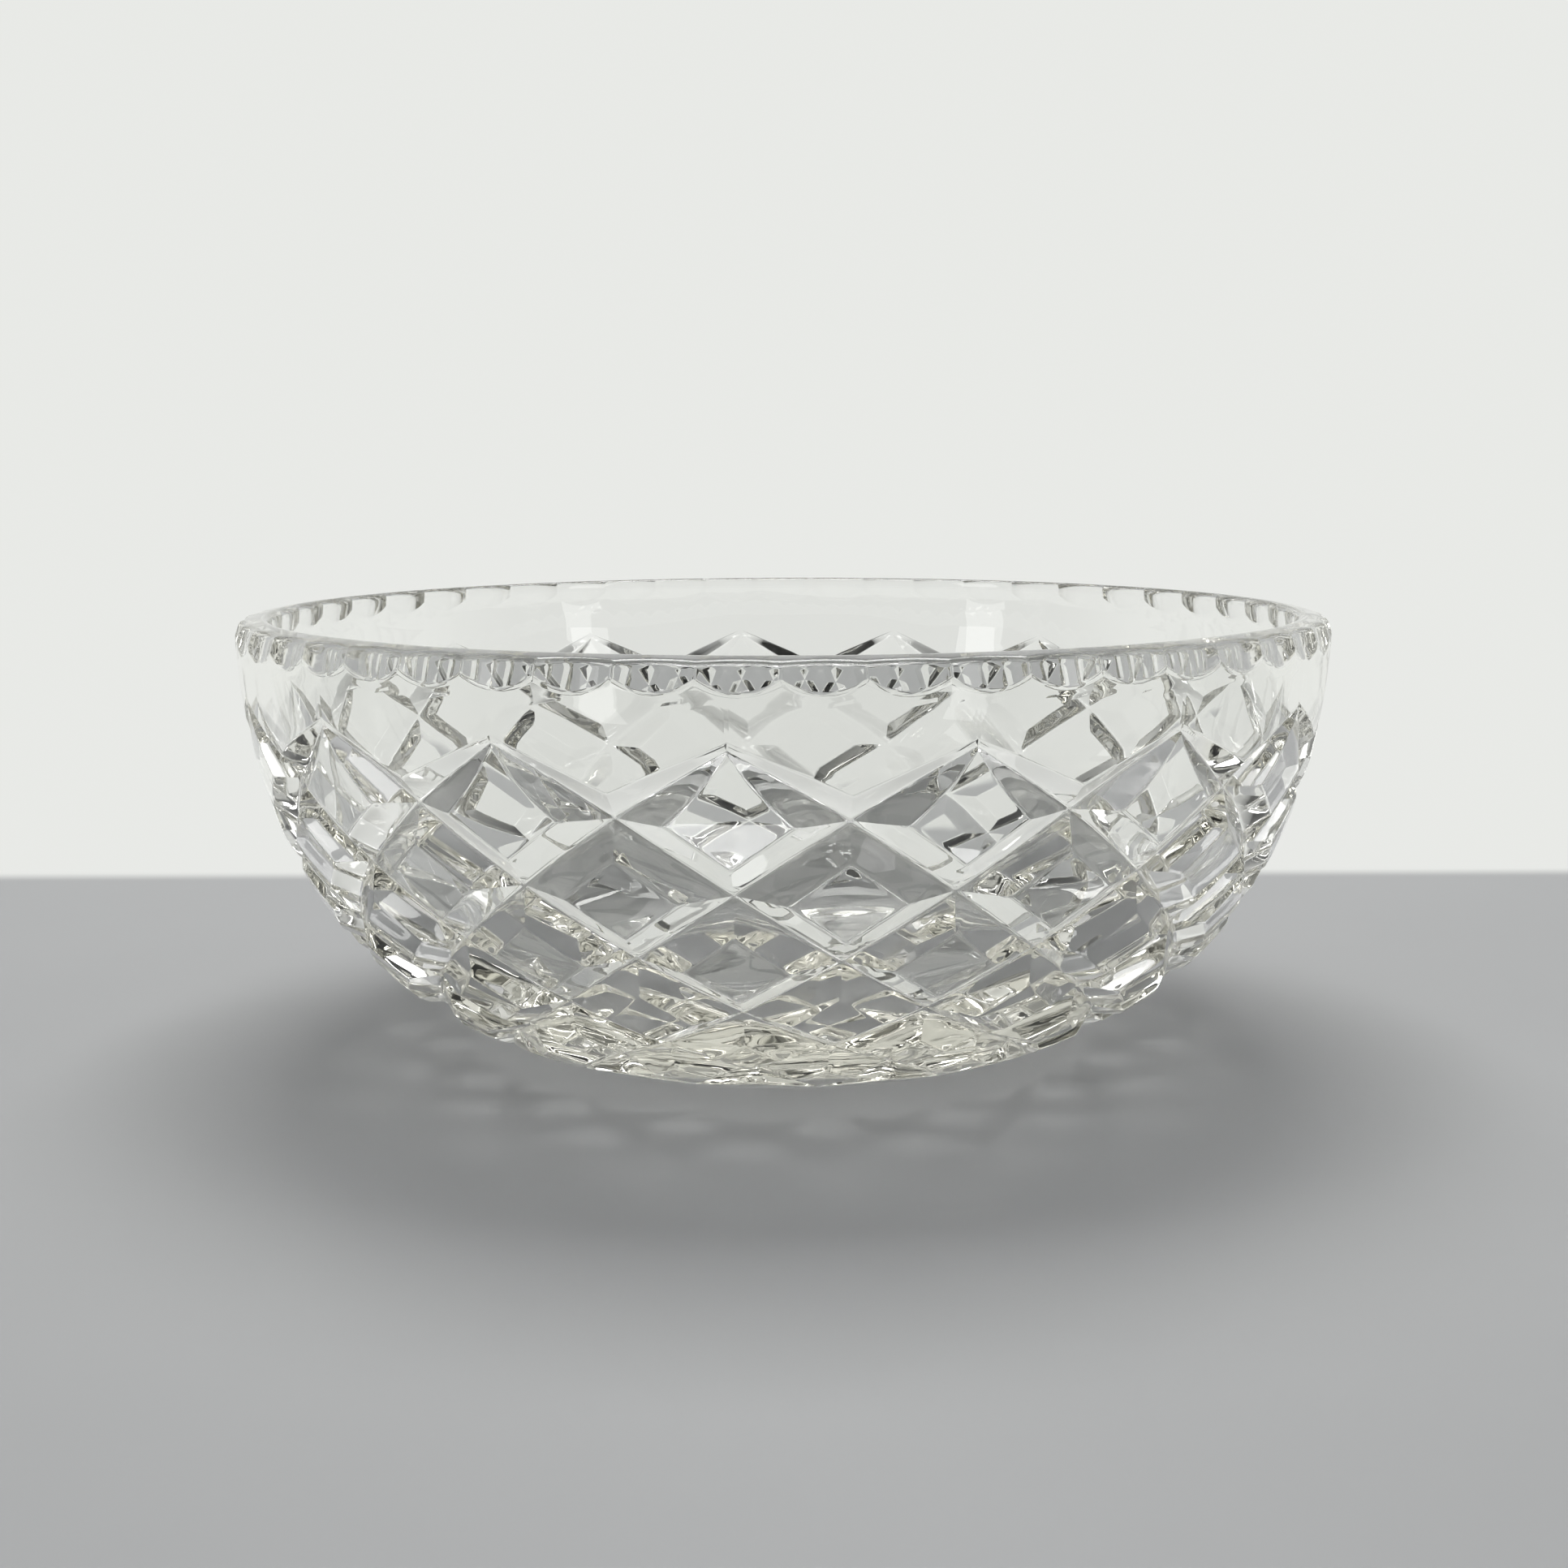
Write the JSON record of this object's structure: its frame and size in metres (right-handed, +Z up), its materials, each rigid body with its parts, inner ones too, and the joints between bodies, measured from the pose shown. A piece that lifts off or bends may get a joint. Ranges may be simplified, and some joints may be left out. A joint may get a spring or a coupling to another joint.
{
  "type": "salad bowl",
  "caption": "Round cut-glass salad bowl with a diamond lattice of V grooves on its side, a fluted rim and a flat foot, for serving food.",
  "frame": {"origin": "centre of the foot, on the surface the bowl stands on", "axes": "+Z up along the bowl's axis, -Y towards the front"},
  "size_m": [0.2147, 0.2147, 0.086],
  "materials": {
    "crystal": "polished clear cut crystal"
  },
  "bodies": {
    "root": {"cut_glass_bowl": "crystal"}
  },
  "joints": []
}
